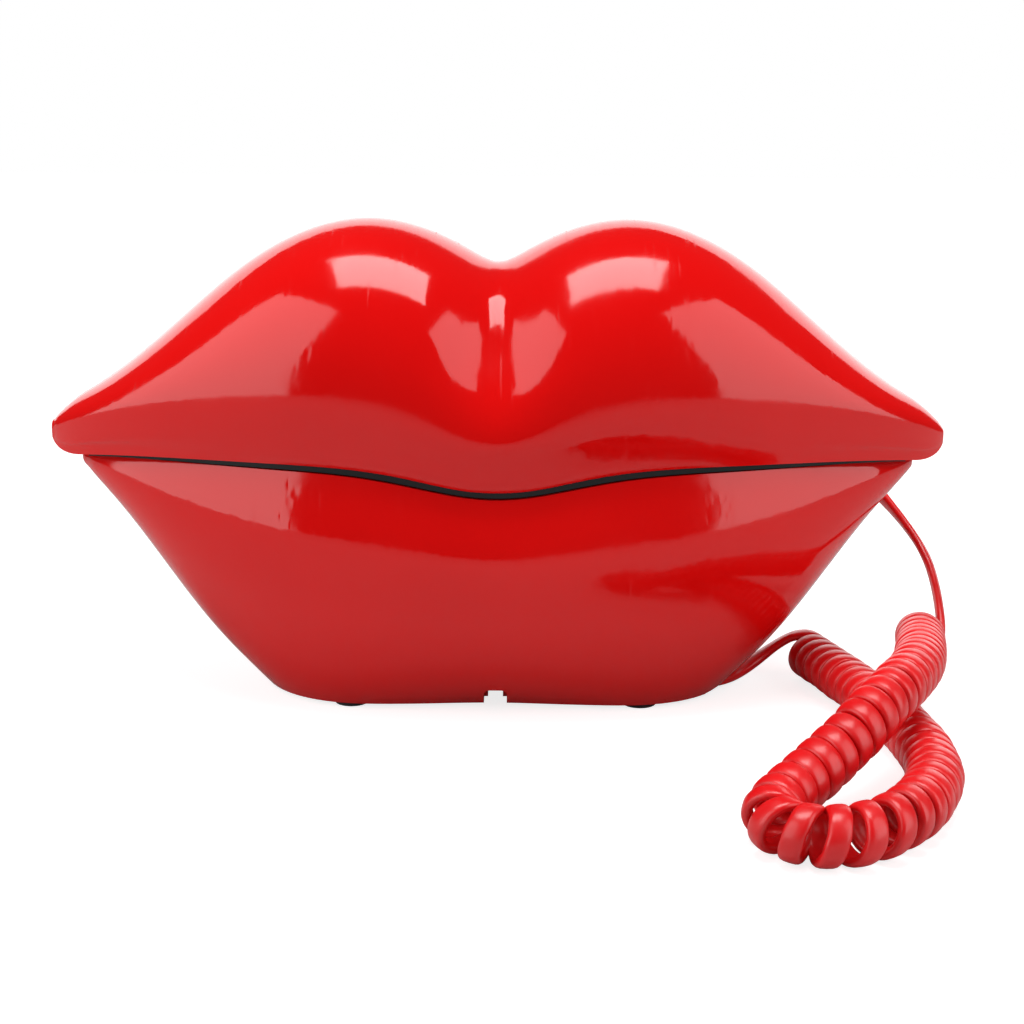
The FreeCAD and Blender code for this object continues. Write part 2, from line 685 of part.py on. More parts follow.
def pillar(name, x, y):
    """A tube pressed into the deck from below, which a screw from the bottom plate enters."""
    tube = doc.addObject("Part::Cylinder", name + "_tube")
    bind(tube, "Radius", "<post_r>")
    bind(tube, "Height", "<deck_z> - <post_z>")
    bore = doc.addObject("Part::Cylinder", name + "_bore")
    bind(bore, "Radius", "<screw_r>")
    bind(bore, "Height", "<pillar_bore>")
    for part in (tube, bore):
        part.Placement = FreeCAD.Placement(V(x, y, size("post_z")), FreeCAD.Rotation())
        part.Visibility = False
    cut = doc.addObject("Part::Cut", name)
    cut.Base = tube
    cut.Tool = bore
    return cut


group("deck_pillars", [pillar("pillar_%d" % n, x, y) for n, (x, y) in enumerate(base_posts)])

drum("hook_plunger",
     [("<hook_stem_r>", "<hook_stem_z>", "<hook_top> - <hook_stem_z> - 2"),
      ("<hook_flange_r>", "<hook_flange_z>", "<hook_flange_tall>"),
      ("<hook_head_r>", "<hook_top> - <hook_head_tall>", "<hook_head_tall>")],
     V(size("hook_x"), 0, 0))
switch_z = size("base_board_z") + size("board_thick")
plate("hook_switch", "<hook_switch_wide>", "<hook_switch_long>", "<hook_switch_tall>", "0.8",
      V(size("hook_x"), 0, switch_z))


def build_hook_spring():
    """A wire wound round the plunger's stem, between the switch and the plunger's flange."""
    wire_r = size("spring_wire_r")
    low = switch_z + size("hook_switch_tall") + wire_r + 0.05
    high = size("hook_flange_z") - wire_r - 0.05
    pitch = (high - low) / size("spring_turns")
    helix = Part.makeHelix(pitch, high - low, size("spring_r"))
    start = Part.Wire(Part.makeCircle(wire_r, V(size("spring_r"), 0, 0), V(0, 1, 0)))
    spring = Part.Wire(helix.Edges).makePipeShell([start], True, True)
    spring.translate(V(size("hook_x"), 0, low))
    return spring


free_form("hook_spring", build_hook_spring())

plate("base_board", "<base_board_length>", "<base_board_width>", "<board_thick>", "2.0",
      V(size("base_board_x"), 0, size("base_board_z")))
plate("base_weight", "<base_weight_long>", "<base_weight_short>", "<base_weight_tall>", "1.5",
      V(size("base_weight_x"), size("base_weight_y"), bottom_top))

sounder_at = V(size("sounder_x"), size("sounder_y"), bottom_top)
holder = new_body("ringer_holder")
pad(holder, "holder_wall", lambda s: draw_circle(s, "<holder_r>"), "0", "<holder_tall>")
pocket(holder, "holder_seat", lambda s: draw_circle(s, "<sounder_r>"), "<holder_tall>",
       "<holder_tall> - <holder_seat>")
pocket(holder, "holder_hole", lambda s: draw_circle(s, "<sounder_r> - 1.5"), "<holder_seat>",
       "<holder_seat> + 1")
holder.Placement = FreeCAD.Placement(sounder_at, FreeCAD.Rotation())
drum("ringer_disc", [("<sounder_r>", "0", "<sounder_tall>")],
     sounder_at + V(0, 0, size("holder_seat")))

base_jack_at = V(size("base_jack_x"), size("base_jack_y"), size("base_jack_z"))
jack("base_cord_jack", four_wire, four_wire_socket, base_jack_at, FACE_RIGHT)
plug("plug_base", base_jack_at, FACE_RIGHT)
jack("line_jack", ("<line_wide>", "<line_tall>", "<line_deep>"),
     ("<line_hole_wide>", "<line_hole_tall>", "<line_hole_deep>"),
     V(size("line_x"), size("line_y"), size("line_z")), FACE_BACK)


def build_slider(name, x, y):
    """A small slide knob: a flange inside the wall and a stem through its slot."""
    body = new_body(name)
    pad(body, name + "_flange",
        lambda s: draw_rectangle(s, "<slider_flange>", "<slider_flange_tall>"), "0", "1.2")
    pad(body, name + "_stem", lambda s: draw_rectangle(s, "<slider_wide>", "<slider_tall>"),
        "0", "9.0")
    body.Placement = FreeCAD.Placement(V(x, y, size("slider_z")), FACE_BACK)


for slider_name, (slider_x, slider_y) in slider_places.items():
    build_slider(slider_name, slider_x, slider_y)


def switch_case(name, x, y):
    """Switch body that carries a slider, standing behind it."""
    case = doc.addObject("Part::Box", name)
    bind(case, "Length", "<slider_flange> + 3")
    bind(case, "Width", "5")
    bind(case, "Height", "<slider_flange_tall>")
    corner = V(x - 0.5 * size("slider_flange"), y - 5.3,
               size("slider_z") - 0.5 * size("slider_flange_tall"))
    case.Placement = FreeCAD.Placement(corner, FreeCAD.Rotation())
    return case


group("slide_switches", [switch_case(name + "_case", x, y)
                         for name, (x, y) in slider_places.items()])


def foot(name, x, y):
    cylinder = doc.addObject("Part::Cylinder", name + "_full")
    bind(cylinder, "Radius", "<foot_r> - 0.1")
    bind(cylinder, "Height", "<foot_tall>")
    doc.recompute()
    rounded = doc.addObject("Part::Fillet", name)
    rounded.Base = cylinder
    low = [n for n, e in enumerate(cylinder.Shape.Edges, start=1) if e.CenterOfMass.z < 0.1
           and e.Curve.TypeId == "Part::GeomCircle"]
    rounded.Edges = [(n, 0.4, 0.4) for n in low]
    cylinder.Placement = FreeCAD.Placement(V(x, y, 0), FreeCAD.Rotation())
    cylinder.Visibility = False
    return rounded


group("rubber_feet", [foot("foot_%d_%d" % (n, m), x, y)
                      for n, x in enumerate((-size("foot_x"), size("foot_x")))
                      for m, y in enumerate((-size("foot_y"), size("foot_y")))])
group("base_screws",
      [screw("base_screw_%d" % n, V(x, y, floor_gap + 0.4), "<screw_r>", "<screw_head_r>",
             "<screw_head_tall>", "16.0")
       for n, (x, y) in enumerate(base_posts)])

# ---------------------------------------------------------------------------- curly cord

# Routes are lists of points. The coil lies on the table: it leads forward, turns back on
# itself at the front and ends lying across its own first stretch.
TAIL_BASE = [(33.0, -8.0, 5.7), (38.5, -8.6, 4.8), (44.0, -11.0, 3.2), (49.6, -12.2, 2.4),
             (54.2, -8.6, 2.3), (58.2, -3.4, 2.4), (62.6, 0.8, 3.8), (68.4, 3.0, 6.2),
             (74.2, 1.2, 7.0)]
COIL = [(75.2, 1.0, 5.8), (79.2, -14.0, 5.8), (84.0, -34.0, 5.8), (87.2, -57.0, 5.8),
        (87.0, -78.0, 5.8), (79.8, -94.5, 5.8), (68.6, -107.0, 5.8), (56.0, -110.0, 5.8),
        (49.4, -101.0, 5.8), (55.5, -91.0, 6.6), (66.5, -81.5, 11.5), (78.0, -69.5, 18.0),
        (88.8, -50.5, 18.2), (94.4, -32.0, 16.4), (98.4, -14.5, 15.4)]
TAIL_HANDSET = [(97.6, -18.0, 16.5), (102.2, -10.5, 19.0), (105.0, -1.0, 22.5),
                (104.6, 8.0, 28.2), (101.0, 15.5, 35.0), (95.0, 22.0, 42.0),
                (89.0, 28.5, 48.5), (83.8, 34.0, 54.5), (80.6, 34.2, 61.2),
                (80.0, 27.4, 63.9), (80.0, 18.3, 63.9)]


def rounded_path(name, route):
    """Straight runs joined by tangent arcs, each as large as its two runs allow."""
    points = [V(*p) for p in route]
    edges = []
    at = points[0]
    radii = []
    for before, corner, after in zip(points, points[1:], points[2:]):
        arrive = (corner - before).normalize()
        leave = (after - corner).normalize()
        turn = arrive.getAngle(leave)
        cut = 0.45 * min((corner - before).Length, (after - corner).Length)
        radii.append(cut / math.tan(0.5 * turn))
        start = corner - arrive * cut
        end = corner + leave * cut
        inward = (leave - arrive).normalize()
        sagitta = radii[-1] * (1.0 / math.cos(0.5 * turn) - 1.0)
        edges.append(Part.LineSegment(at, start).toShape())
        edges.append(Part.Arc(start, corner + inward * sagitta, end).toShape())
        at = end
    edges.append(Part.LineSegment(at, points[-1]).toShape())
    print("%s radii" % name, [round(r, 1) for r in radii])
    return Part.Wire(edges)


def cord_tube(name, route, diameter):
    path = rounded_path(name, route)
    along = V(*route[1]) - V(*route[0])
    end = Part.Wire(Part.makeCircle(0.5 * diameter, V(*route[0]), along))
    tube = path.makePipeShell([end], True, False)
    expected = 0.25 * math.pi * diameter ** 2 * path.Length
    print("%s length %.1f, volume against section times length %.4f"
          % (name, path.Length, tube.Volume / expected))
    return free_form(name, tube)


cord_tube("cord_tail_base", TAIL_BASE, size("cord_wide"))
cord_tube("cord_coil", COIL, size("coil_d"))
cord_tube("cord_tail_handset", TAIL_HANDSET, size("cord_wide"))

# -------------------------------------------------------------------------------- export

NODES = ["handset_shell", "handset_cover", "keypad_mat", "handset_board", "earpiece_ring",
         "earpiece_receiver", "microphone_boot", "microphone", "handset_jack",
         "handset_weights", "handset_screws", "base_shell", "base_deck", "deck_pillars",
         "base_bottom", "hook_plunger", "hook_spring", "hook_switch", "base_board",
         "base_weight", "ringer_holder", "ringer_disc", "base_cord_jack", "line_jack",
         "ringer_slider", "dial_mode_slider", "slide_switches", "rubber_feet", "base_screws",
         "plug_base", "plug_handset", "cord_tail_base", "cord_coil", "cord_tail_handset"]
NODES += [name for names in KEY_NAMES for name in names]

doc.recompute()
for item in doc.Objects:
    if "Invalid" in item.State or "Error" in item.State:
        raise RuntimeError("%s failed: %s" % (item.Name, item.State))
for node in NODES:
    item = doc.getObjectsByLabel(node)[0]
    if item.Shape.isNull() or not item.Shape.isValid():
        raise RuntimeError("%s has no valid shape" % node)
    solids = item.Shape.Solids
    print("%-20s solids %d volume %.0f box %s" % (
        node, len(solids), item.Shape.Volume,
        [round(n, 1) for n in (item.Shape.BoundBox.XMin, item.Shape.BoundBox.XMax,
                               item.Shape.BoundBox.YMin, item.Shape.BoundBox.YMax,
                               item.Shape.BoundBox.ZMin, item.Shape.BoundBox.ZMax)]))
    item.Shape.exportStep("parts/%s.step" % node)
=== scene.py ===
"""Red lips telephone: materials, curly cord, key legends, floor, lights and camera.

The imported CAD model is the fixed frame. Lengths are in metres, in the model's own frame:
+X along the lips, -Y towards the viewer, +Z up.
"""
import json
import math

import bpy
from mathutils import Matrix, Vector


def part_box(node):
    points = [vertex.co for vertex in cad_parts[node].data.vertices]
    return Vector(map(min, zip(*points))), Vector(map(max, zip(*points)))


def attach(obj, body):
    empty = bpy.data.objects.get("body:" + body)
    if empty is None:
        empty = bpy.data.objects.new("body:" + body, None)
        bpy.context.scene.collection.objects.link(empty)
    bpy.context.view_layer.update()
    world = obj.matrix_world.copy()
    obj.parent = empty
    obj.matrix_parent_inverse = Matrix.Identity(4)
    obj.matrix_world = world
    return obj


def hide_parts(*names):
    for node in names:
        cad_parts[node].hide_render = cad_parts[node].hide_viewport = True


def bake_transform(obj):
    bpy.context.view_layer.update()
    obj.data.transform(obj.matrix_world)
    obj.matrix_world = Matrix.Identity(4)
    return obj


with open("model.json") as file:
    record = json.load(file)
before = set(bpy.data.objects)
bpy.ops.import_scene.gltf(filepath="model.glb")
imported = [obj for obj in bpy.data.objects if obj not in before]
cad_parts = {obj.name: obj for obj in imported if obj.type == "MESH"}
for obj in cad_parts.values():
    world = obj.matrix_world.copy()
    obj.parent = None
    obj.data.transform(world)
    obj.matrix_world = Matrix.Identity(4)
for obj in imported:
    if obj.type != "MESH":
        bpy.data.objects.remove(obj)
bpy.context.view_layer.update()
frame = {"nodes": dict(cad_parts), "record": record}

scene = bpy.context.scene
nodes = frame["nodes"]
UP = Vector((0.0, 0.0, 1.0))


def place(obj):
    """Adds a new object to the scene."""
    scene.collection.objects.link(obj)
    return obj


def mesh_piece(name, verts, faces, smooth=True):
    mesh = bpy.data.meshes.new(name)
    mesh.from_pydata(verts, [], faces)
    mesh.update()
    if smooth:
        mesh.shade_smooth()
    return place(bpy.data.objects.new(name, mesh))


# ---------------------------------------------------------------------------- camera

CAMERA_AT = (0.0035, -0.372, 0.120)
LOOK_DOWN = math.radians(12.07)
ROLL = math.radians(0.4)

camera_data = bpy.data.cameras.new("camera")
camera_data.lens = 56.25
camera_data.sensor_width = 36.0
camera_data.clip_start = 0.01
camera = place(bpy.data.objects.new("camera", camera_data))
camera.matrix_world = (Matrix.Translation(CAMERA_AT)
                       @ Matrix.Rotation(math.radians(90) - LOOK_DOWN, 4, "X")
                       @ Matrix.Rotation(ROLL, 4, "Z"))
scene.camera = camera

# ------------------------------------------------------------------------ curly cord

CORD_WIDE = 0.0043
CORD_THICK = 0.0021
COIL_RADIUS = 0.00465
CLOSED_PITCH = 0.00425
POINTS_PER_TURN = 16
STEPS_PER_PITCH = 200
AXIS_RESOLUTION = 16
CORD_RESOLUTION = 4
AXIS_REACH = 4
SECTION_POINTS = 16
SECTION_SQUARENESS = 0.7

# The flat cord runs from the base's jack to the top of the coil's first turn.
TAIL_BASE = [(0.0330, -0.0080, 0.0057), (0.0385, -0.0086, 0.0048), (0.0440, -0.0110, 0.0032),
             (0.0496, -0.0122, 0.0024), (0.0542, -0.0086, 0.0023), (0.0582, -0.0034, 0.0024),
             (0.0626, 0.0008, 0.0038), (0.0676, 0.0026, 0.0070), (0.0718, 0.0022, 0.0098)]
# The coil's own axis: forward along the table, round to the left, and back across itself.
COIL = [(0.0752, 0.0010, 0.0058), (0.0792, -0.0140, 0.0058), (0.0840, -0.0340, 0.0058),
        (0.0872, -0.0570, 0.0058), (0.0870, -0.0780, 0.0058), (0.0798, -0.0945, 0.0058),
        (0.0686, -0.1070, 0.0058), (0.0560, -0.1100, 0.0058), (0.0494, -0.1010, 0.0058),
        (0.0555, -0.0910, 0.0066), (0.0665, -0.0815, 0.0115), (0.0780, -0.0695, 0.0180),
        (0.0888, -0.0505, 0.0182), (0.0944, -0.0320, 0.0164), (0.0984, -0.0145, 0.0154)]
# From the right side of the last turn up to the handset's jack.
TAIL_HANDSET = [(0.1036, -0.0122, 0.0186), (0.1050, -0.0010, 0.0235), (0.1046, 0.0080, 0.0290),
                (0.1010, 0.0155, 0.0350), (0.0950, 0.0220, 0.0420), (0.0890, 0.0285, 0.0485),
                (0.0838, 0.0340, 0.0545), (0.0806, 0.0342, 0.0612), (0.0800, 0.0274, 0.0639),
                (0.0800, 0.0183, 0.0639)]
# How far the turns stand apart along the coil, as (distance along the axis, share of closed).
SPREAD = [(0.0, 1.0), (0.092, 1.0), (0.102, 1.15), (0.110, 1.5), (0.117, 1.45), (0.123, 1.2),
          (0.132, 1.2), (0.144, 1.2), (0.152, 1.08), (0.185, 1.05), (0.205, 1.0), (1.0, 1.0)]


def smooth_line(points, resolution):
    """The points of a NURBS spline laid along a route, as Blender evaluates it."""
    data = bpy.data.curves.new("route", "CURVE")
    data.dimensions = "3D"
    spline = data.splines.new("NURBS")
    spline.points.add(len(points) - 1)
    for point, at in zip(spline.points, points):
        point.co = (*at, 1.0)
    spline.order_u = 3
    spline.use_endpoint_u = True
    spline.resolution_u = resolution
    route = bpy.data.objects.new("route", data)
    mesh = bpy.data.meshes.new_from_object(route)
    line = [vertex.co.copy() for vertex in mesh.vertices]
    bpy.data.objects.remove(route)
    bpy.data.curves.remove(data)
    bpy.data.meshes.remove(mesh)
    return line


def distances(line):
    """The distance along a line to each of its points."""
    along = [0.0]
    for before, after in zip(line, line[1:]):
        along.append(along[-1] + (after - before).length)
    return along


def between(table, at):
    """Reads a table of (place, value) pairs, in a straight line between its entries."""
    for (x0, y0), (x1, y1) in zip(table, table[1:]):
        if at <= x1:
            return y0 + (y1 - y0) * (at - x0) / (x1 - x0)
    return table[-1][1]


def helix_points():
    """The turns round the coil's axis, each point with the way the cord's width lies."""
    axis = smooth_line(COIL, AXIS_RESOLUTION)
    along = distances(axis)
    step = CLOSED_PITCH / STEPS_PER_PITCH
    turns = [0.0]
    while len(turns) * step <= along[-1]:
        turns.append(turns[-1] + step / (CLOSED_PITCH * between(SPREAD, len(turns) * step)))
    # the first turn starts at its top, and the last one ends at its right side
    wanted = round(turns[-1] + 0.25) - 0.25
    count = int(wanted * POINTS_PER_TURN)
    points = []
    index = 0
    segment = 0
    for number in range(count + 1):
        turn = number / POINTS_PER_TURN * turns[-1] / wanted
        while index < len(turns) - 2 and turns[index + 1] < turn:
            index += 1
        share = (turn - turns[index]) / (turns[index + 1] - turns[index])
        at = min((index + share) * step, along[-1])
        while segment < len(along) - 2 and along[segment + 1] < at:
            segment += 1
        share = (at - along[segment]) / (along[segment + 1] - along[segment])
        centre = axis[segment].lerp(axis[segment + 1], share)
        low = max(segment - AXIS_REACH, 0)
        high = min(segment + AXIS_REACH + 1, len(axis) - 1)
        ahead = (axis[high] - axis[low]).normalized()
        rise = (UP - ahead * ahead.z).normalized()
        side = ahead.cross(rise)
        angle = -2 * math.pi * number / POINTS_PER_TURN
        radius = COIL_RADIUS * (1 + 0.012 * math.sin(1.7 * turn) + 0.01 * math.sin(4.3 * turn))
        out = rise * math.cos(angle) + side * math.sin(angle)
        lean = 0.05 * math.sin(2.3 * turn) * math.cos(angle - 1.1 * turn)
        points.append((centre + out * radius + ahead * radius * lean, -ahead))
    return points


def cord_points():
    """Every point of the cord, from the base's plug to the handset's, with its width's way."""
    points = []
    for here, after in zip(TAIL_BASE, TAIL_BASE[1:] + [COIL[0]]):
        ahead = Vector(after) - Vector(here)
        points.append((Vector(here), UP.cross(ahead).normalized()))
    points += helix_points()
    first = points[-1][1]
    last = Vector((1.0, 0.0, 0.0))
    for number, at in enumerate(TAIL_HANDSET):
        share = min(1.0, max(0.0, (number - 2) / (len(TAIL_HANDSET) - 5)))
        points.append((Vector(at), first.lerp(last, share).normalized()))
    return points


def flat_section(count=SECTION_POINTS):
    """The cord's cross-section: a flat oval with full sides."""
    ring = []
    for number in range(count):
        angle = 2 * math.pi * number / count
        wide = math.copysign(abs(math.cos(angle)) ** SECTION_SQUARENESS, math.cos(angle))
        thick = math.copysign(abs(math.sin(angle)) ** SECTION_SQUARENESS, math.sin(angle))
        ring.append((0.5 * CORD_WIDE * wide, 0.5 * CORD_THICK * thick))
    return ring


def make_cord():
    """Sweeps the flat section along the whole cord, hides the CAD cord pieces and prints the
    cord's length and turns.
    """
    laid = cord_points()
    line = smooth_line([point for point, _ in laid], CORD_RESOLUTION)
    ring = flat_section()
    verts = []
    faces = []
    spans = len(laid) - 2
    for number, at in enumerate(line):
        before = line[max(number - 1, 0)]
        after = line[min(number + 1, len(line) - 1)]
        ahead = (after - before).normalized()
        place_in_route = min(number / (len(line) - 1) * spans + 0.5, len(laid) - 1.001)
        low = int(place_in_route)
        wide = laid[low][1].lerp(laid[low + 1][1], place_in_route - low)
        wide = (wide - ahead * wide.dot(ahead)).normalized()
        thick = ahead.cross(wide)
        verts += [at + wide * w + thick * t for w, t in ring]
    size = len(ring)
    for number in range(len(line) - 1):
        base = number * size
        for step in range(size):
            other = (step + 1) % size
            faces.append((base + step, base + other, base + size + other, base + size + step))
    faces.append(tuple(range(size - 1, -1, -1)))
    faces.append(tuple(range(len(verts) - size, len(verts))))
    cord = mesh_piece("curly_cord", verts, faces)
    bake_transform(cord)
    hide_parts("cord_tail_base", "cord_coil", "cord_tail_handset")
    print("cord length %.3f m, turns %d" % (distances(line)[-1],
                                            len(helix_points()) // POINTS_PER_TURN))
    return cord


cord = make_cord()

# ------------------------------------------------------------------------- materials


class Recipe:
    """A node material: a Principled shader with what feeds it."""

    def __init__(self, name, colour, roughness, **values):
        self.material = bpy.data.materials.new(name)
        self.material.use_nodes = True
        self.tree = self.material.node_tree
        self.shader = self.tree.nodes["Principled BSDF"]
        self.shader.inputs["Base Color"].default_value = (*colour, 1.0)
        self.shader.inputs["Roughness"].default_value = roughness
        for key, value in values.items():
            self.shader.inputs[key.replace("_", " ")].default_value = value
        self.where = self.tree.nodes.new("ShaderNodeTexCoord")

    def noise(self, scale, detail=3.0, stretch=(1.0, 1.0, 1.0), turn=(0.0, 0.0, 0.0)):
        """Noise over the piece: scale is in waves per metre."""
        mapping = self.tree.nodes.new("ShaderNodeMapping")
        mapping.inputs["Scale"].default_value = stretch
        mapping.inputs["Rotation"].default_value = turn
        texture = self.tree.nodes.new("ShaderNodeTexNoise")
        texture.inputs["Scale"].default_value = scale
        texture.inputs["Detail"].default_value = detail
        self.tree.links.new(self.where.outputs["Object"], mapping.inputs["Vector"])
        self.tree.links.new(mapping.outputs["Vector"], texture.inputs["Vector"])
        return texture.outputs["Fac"]

    def ramp(self, source, low, high, start=0.35, end=0.65):
        """Maps a grey value to the range from low to high."""
        node = self.tree.nodes.new("ShaderNodeMapRange")
        node.inputs["From Min"].default_value = start
        node.inputs["From Max"].default_value = end
        node.inputs["To Min"].default_value = low
        node.inputs["To Max"].default_value = high
        self.tree.links.new(source, node.inputs["Value"])
        return node.outputs["Result"]

    def add(self, first, second):
        node = self.tree.nodes.new("ShaderNodeMath")
        node.operation = "ADD"
        self.tree.links.new(first, node.inputs[0])
        self.tree.links.new(second, node.inputs[1])
        return node.outputs["Value"]

    def colours(self, source, dark, light):
        """Two close shades of the piece's colour, mixed by a grey value."""
        node = self.tree.nodes.new("ShaderNodeMix")
        node.data_type = "RGBA"
        node.inputs["A"].default_value = (*dark, 1.0)
        node.inputs["B"].default_value = (*light, 1.0)
        self.tree.links.new(source, node.inputs["Factor"])
        self.tree.links.new(node.outputs["Result"], self.shader.inputs["Base Color"])

    def rough(self, source):
        self.tree.links.new(source, self.shader.inputs["Roughness"])

    def bump(self, source, strength, height):
        node = self.tree.nodes.new("ShaderNodeBump")
        node.inputs["Strength"].default_value = strength
        node.inputs["Distance"].default_value = height
        self.tree.links.new(source, node.inputs["Height"])
        self.tree.links.new(node.outputs["Normal"], self.shader.inputs["Normal"])


def red_plastic():
    """Glossy moulded plastic with a slight unevenness, faint haze and hairline scratches."""
    made = Recipe("red_plastic", (0.78, 0.003, 0.003), 0.1, IOR=1.5)
    made.colours(made.ramp(made.noise(14.0), 0.0, 1.0), (0.75, 0.0028, 0.0026),
                 (0.81, 0.0036, 0.0032))
    haze = made.ramp(made.noise(55.0, 4.0), 0.06, 0.13)
    hairs = made.noise(60.0, 2.0, (22.0, 1.0, 1.0), (0.3, 0.5, 0.2))
    made.rough(made.add(haze, made.ramp(hairs, 0.0, 0.14, 0.66, 0.72)))
    made.bump(made.noise(240.0, 2.0), 0.06, 0.00003)
    return made.material


def black_plastic():
    made = Recipe("black_plastic", (0.005, 0.005, 0.0055), 0.16, IOR=1.4)
    made.colours(made.ramp(made.noise(40.0), 0.0, 1.0), (0.0035, 0.0035, 0.004),
                 (0.007, 0.007, 0.0075))
    made.rough(made.ramp(made.noise(90.0, 4.0), 0.12, 0.24))
    made.bump(made.noise(900.0, 2.0), 0.08, 0.00003)
    return made.material


def key_plastic():
    made = Recipe("key_plastic", (0.62, 0.006, 0.008), 0.25, IOR=1.5)
    made.colours(made.ramp(made.noise(60.0), 0.0, 1.0), (0.55, 0.004, 0.006),
                 (0.63, 0.006, 0.009))
    made.rough(made.ramp(made.noise(300.0, 3.0), 0.2, 0.32))
    made.bump(made.noise(1500.0, 2.0), 0.1, 0.00004)
    return made.material


def legend_ink():
    made = Recipe("legend_ink", (0.8, 0.78, 0.74), 0.45)
    made.colours(made.ramp(made.noise(700.0), 0.0, 1.0), (0.72, 0.7, 0.66), (0.85, 0.84, 0.8))
    made.rough(made.ramp(made.noise(900.0), 0.4, 0.55))
    return made.material


def rubber(name, dark, light):
    made = Recipe(name, light, 0.6, IOR=1.45)
    made.colours(made.ramp(made.noise(120.0, 4.0), 0.0, 1.0), dark, light)
    made.rough(made.ramp(made.noise(400.0, 4.0), 0.5, 0.72))
    made.bump(made.noise(1800.0, 3.0), 0.2, 0.00006)
    return made.material


def circuit_board():
    made = Recipe("circuit_board", (0.02, 0.12, 0.05), 0.35)
    made.colours(made.ramp(made.noise(220.0, 5.0), 0.0, 1.0, 0.48, 0.52), (0.012, 0.09, 0.035),
                 (0.03, 0.17, 0.07))
    made.rough(made.ramp(made.noise(350.0), 0.28, 0.42))
    made.bump(made.noise(220.0, 5.0), 0.15, 0.00008)
    return made.material


def metal(name, dark, light):
    made = Recipe(name, light, 0.3, Metallic=1.0)
    made.colours(made.ramp(made.noise(160.0, 4.0), 0.0, 1.0), dark, light)
    made.rough(made.ramp(made.noise(500.0, 3.0, (1.0, 8.0, 1.0)), 0.2, 0.42))
    made.bump(made.noise(900.0, 3.0, (1.0, 6.0, 1.0)), 0.08, 0.00004)
    return made.material


def clear_plastic():
    made = Recipe("clear_plastic", (0.92, 0.94, 0.95), 0.08, IOR=1.55)
    made.shader.inputs["Transmission Weight"].default_value = 0.85
    made.rough(made.ramp(made.noise(250.0, 3.0), 0.05, 0.16))
    made.bump(made.noise(600.0), 0.1, 0.00004)
    return made.material


def red_cord():
    """Soft vinyl: satin, with a faint grain along the cord and slight shade differences."""
    made = Recipe("red_cord", (0.8, 0.008, 0.01), 0.34, IOR=1.48)
    made.shader.inputs["Coat Weight"].default_value = 0.25
    made.shader.inputs["Coat Roughness"].default_value = 0.22
    made.colours(made.ramp(made.noise(70.0, 4.0), 0.0, 1.0), (0.72, 0.006, 0.008),
                 (0.84, 0.009, 0.012))
    made.rough(made.ramp(made.noise(420.0, 4.0), 0.28, 0.42))
    made.bump(made.noise(1300.0, 3.0), 0.16, 0.00005)
    return made.material


FINISH = {
    "red_plastic": red_plastic(),
    "black_plastic": black_plastic(),
    "key_plastic": key_plastic(),
    "rubber": rubber("rubber", (0.05, 0.05, 0.052), (0.09, 0.09, 0.092)),
    "foot_rubber": rubber("foot_rubber", (0.008, 0.008, 0.009), (0.02, 0.02, 0.021)),
    "circuit_board": circuit_board(),
    "steel": metal("steel", (0.42, 0.43, 0.44), (0.6, 0.61, 0.62)),
    "brass": metal("brass", (0.52, 0.37, 0.13), (0.7, 0.52, 0.22)),
    "clear_plastic": clear_plastic(),
    "red_cord": red_cord(),
}


def paint(obj, material):
    obj.data.materials.clear()
    obj.data.materials.append(material)


for subpart in frame["record"]["subparts"]:
    paint(nodes[subpart["node"]], FINISH[subpart["material_slot"]])
paint(cord, FINISH["red_cord"])

# ----------------------------------------------------------------------- key legends

LEGENDS = {"star": "*", "hash": "#", "mute": "M", "redial": "R", "flash": "F"}
LEGENDS.update({str(number): str(number) for number in range(10)})
LEGEND_TALL = 0.0058
LEGEND_THICK = 0.00003
LEGEND_PROUD = 0.00002
ink = legend_ink()


def key_legend(key, character):
    """A printed character on a key's face, readable from below with the earpiece on top."""
    data = bpy.data.curves.new("legend_" + key, "FONT")
    data.body = character
    data.size = LEGEND_TALL
    data.extrude = LEGEND_THICK
    data.align_x = "CENTER"
    data.align_y = "CENTER"
    text = bpy.data.objects.new("legend_" + key, data)
    mesh = bpy.data.meshes.new_from_object(text)
    bpy.data.objects.remove(text)
    low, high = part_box("key_" + key)
    middle = [0.5 * (min(v.co[i] for v in mesh.vertices) + max(v.co[i] for v in mesh.vertices))
              for i in range(2)]
    turn = Matrix(((0, -1, 0), (-1, 0, 0), (0, 0, -1))).to_4x4()
    at = Matrix.Translation((0.5 * (low.x + high.x), 0.5 * (low.y + high.y), low.z - LEGEND_PROUD))
    mesh.transform(at @ turn @ Matrix.Translation((-middle[0], -middle[1], 0)))
    legend = place(bpy.data.objects.new("legend_" + key, mesh))
    paint(legend, ink)
    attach(legend, "button_" + key)
    return legend


for key, character in LEGENDS.items():
    key_legend(key, character)

# ------------------------------------------------------------------ floor and lights


# The floor's painted glow, seen only by the camera: a painted shadow near the telephone, painted
# light brighter towards the horizon.
GLOW_NEAR = 0.8
GLOW_FAR = 1.05
GLOW_FROM = 0.55
GLOW_TO = 1.3


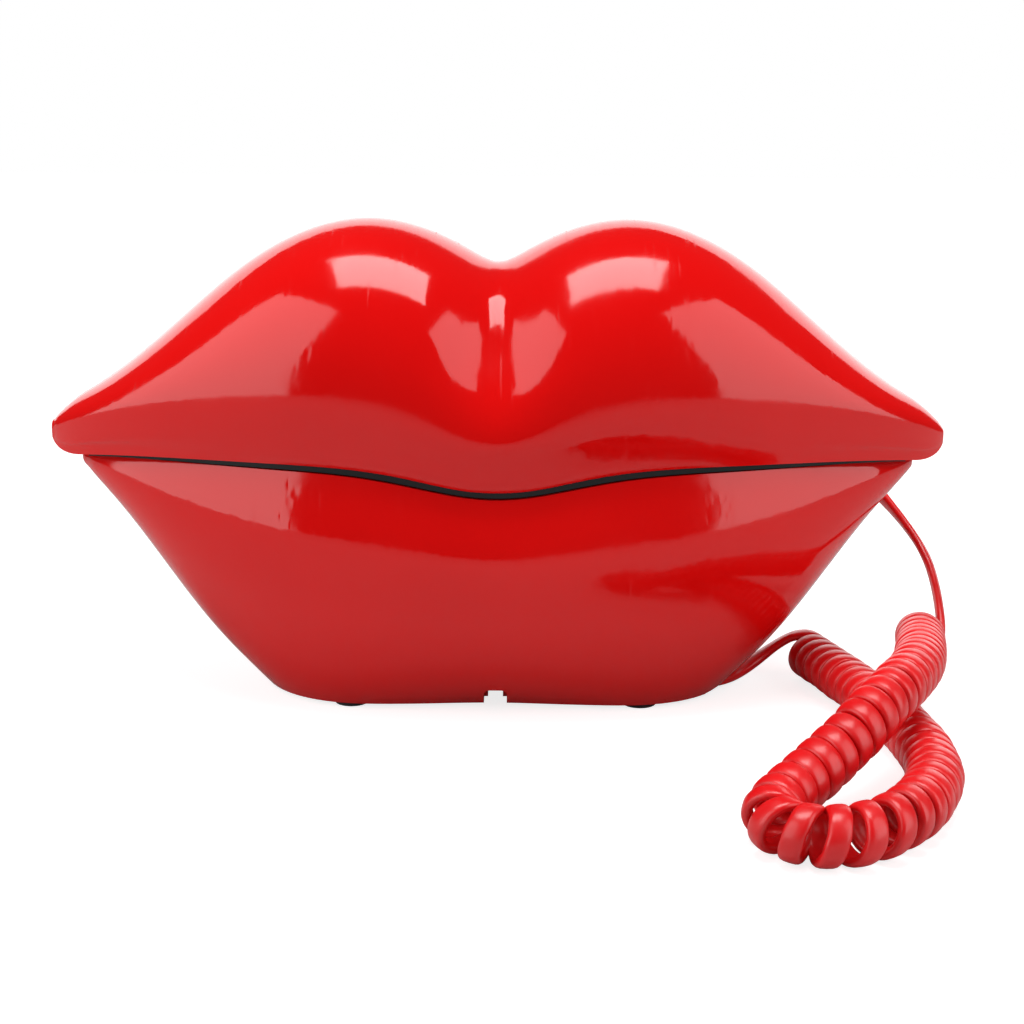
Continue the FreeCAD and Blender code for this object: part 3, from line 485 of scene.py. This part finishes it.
def floor_material():
    """Pale and matt, with a painted glow that brightens towards the horizon so that it meets the
    white background.
    """
    made = Recipe("pale_floor", (0.5, 0.5, 0.5), 0.7)
    made.colours(made.ramp(made.noise(3.0), 0.0, 1.0), (0.49, 0.49, 0.49), (0.51, 0.51, 0.51))
    made.shader.inputs["Specular IOR Level"].default_value = 0.0
    made.shader.inputs["Emission Color"].default_value = (1.0, 1.0, 1.0, 1.0)
    away = made.tree.nodes.new("ShaderNodeVectorMath")
    away.operation = "LENGTH"
    made.tree.links.new(made.where.outputs["Object"], away.inputs[0])
    # painted light and shade: the camera-only glow is dimmer near the telephone and brighter far
    # away
    far = made.ramp(away.outputs["Value"], GLOW_NEAR, GLOW_FAR, GLOW_FROM, GLOW_TO)
    ray = made.tree.nodes.new("ShaderNodeLightPath")
    seen = made.tree.nodes.new("ShaderNodeMath")
    seen.operation = "MULTIPLY"
    made.tree.links.new(far, seen.inputs[0])
    made.tree.links.new(ray.outputs["Is Camera Ray"], seen.inputs[1])
    made.tree.links.new(seen.outputs["Value"], made.shader.inputs["Emission Strength"])
    return made.material


FLOOR_REACH = 30.0
floor = mesh_piece("floor", [(x * FLOOR_REACH, y * FLOOR_REACH, 0.0)
                             for x, y in ((-1, -1), (1, -1), (1, 1), (-1, 1))],
                   [(0, 1, 2, 3)], smooth=False)
paint(floor, floor_material())


def softbox(name, at, towards, wide, tall, brightness):
    """A rectangular area light of an even brightness, facing a point."""
    data = bpy.data.lights.new(name, "AREA")
    data.shape = "RECTANGLE"
    data.size = wide
    data.size_y = tall
    data.energy = brightness * math.pi * wide * tall
    light = place(bpy.data.objects.new(name, data))
    light.location = at
    light.rotation_euler = (Vector(towards) - Vector(at)).to_track_quat("-Z", "Y").to_euler()
    return light


softbox("softbox_left", (-0.95, -0.45, 0.75), (0.0, 0.0, 0.75), 1.0, 1.5, 2.3)
softbox("softbox_right", (0.95, -0.45, 0.75), (0.0, 0.0, 0.75), 0.9, 1.5, 2.1)
softbox("softbox_top", (0.0, -0.01, 1.1), (0.0, 0.0, 0.06), 0.82, 0.5, 6.9)
back = softbox("softbox_back", (0.0, 1.6, 0.6), (0.0, 0.0, 0.6), 3.2, 1.2, 1.5)
back.visible_camera = False

world = bpy.data.worlds.new("studio")
scene.world = world
world.use_nodes = True
background = world.node_tree.nodes["Background"]
background.inputs["Color"].default_value = (1.0, 1.0, 1.0, 1.0)
background.inputs["Strength"].default_value = 0.05
seen = world.node_tree.nodes.new("ShaderNodeBackground")
seen.inputs["Color"].default_value = (1.0, 1.0, 1.0, 1.0)
ray = world.node_tree.nodes.new("ShaderNodeLightPath")
either = world.node_tree.nodes.new("ShaderNodeMixShader")
world.node_tree.links.new(ray.outputs["Is Camera Ray"], either.inputs["Fac"])
world.node_tree.links.new(background.outputs["Background"], either.inputs[1])
world.node_tree.links.new(seen.outputs["Background"], either.inputs[2])
world.node_tree.links.new(either.outputs["Shader"],
                          world.node_tree.nodes["World Output"].inputs["Surface"])
scene.view_settings.view_transform = "Standard"
